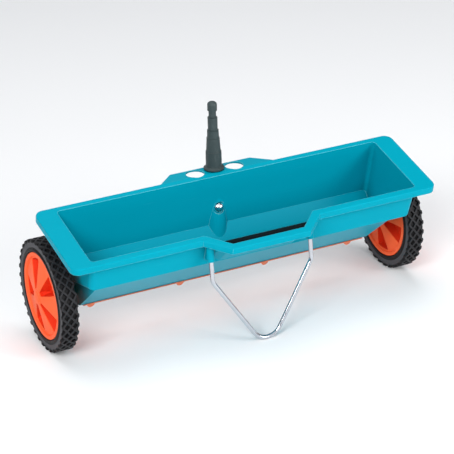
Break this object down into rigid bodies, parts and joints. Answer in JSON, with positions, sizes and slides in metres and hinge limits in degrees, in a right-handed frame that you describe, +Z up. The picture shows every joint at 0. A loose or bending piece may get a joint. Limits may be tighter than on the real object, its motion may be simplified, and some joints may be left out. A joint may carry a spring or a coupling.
{
  "type": "drop spreader",
  "caption": "Two-wheeled drop spreader for lawns: open trough hopper with a ground-driven feed roller, metering slide, wire stand and upright handle adapter.",
  "frame": {"origin": "on the floor, under the middle of the whole object's box", "axes": "+X along the axle to the right-hand wheel, +Y to the rear where the handle adapter is, +Z up; parked on its wheels and stand"},
  "size_m": [0.6498, 0.2566, 0.3385],
  "materials": {
    "teal": "satin moulded plastic",
    "slate": "fine matt",
    "chrome": "bright",
    "zinc": "zinc plated",
    "orange": "satin moulded plastic",
    "black": "satin",
    "roller": "matt",
    "tyre": "moulded tread"
  },
  "bodies": {
    "frame": {"hopper": "teal", "handle_adapter": "slate", "adapter_bolt": "chrome", "adapter_washer": "zinc", "adapter_nut": "zinc", "stand_wire": "chrome", "guide_screws": "zinc", "left_axle_bush": "black", "right_axle_bush": "black"},
    "drive": {"axle": "zinc", "feed_roller": "roller", "roller_pins": "zinc", "left_spacer": "black", "right_spacer": "black", "left_wheel": "orange", "left_tyre": "tyre", "left_wheel_pin": "zinc", "left_push_nut": "zinc", "left_hub_cap": "orange", "right_push_nut": "zinc"},
    "free_wheel": {"right_wheel": "orange", "right_tyre": "tyre", "right_wheel_bush": "black", "right_hub_cap": "orange"},
    "slide": {"metering_slide": "orange"}
  },
  "joints": [
    {"name": "axle_spin", "type": "hinge", "parent": "frame", "child": "drive", "pos_m": [0, 0.03845, 0.09], "axis": [1, 0, 0], "continuous": true},
    {"name": "right_wheel_spin", "type": "hinge", "parent": "frame", "child": "free_wheel", "pos_m": [0, 0.03845, 0.09], "axis": [1, 0, 0], "continuous": true},
    {"name": "slide_shift", "type": "slide", "parent": "frame", "child": "slide", "axis": [1, 0, 0], "range_m": [0, 0.012]}
  ]
}
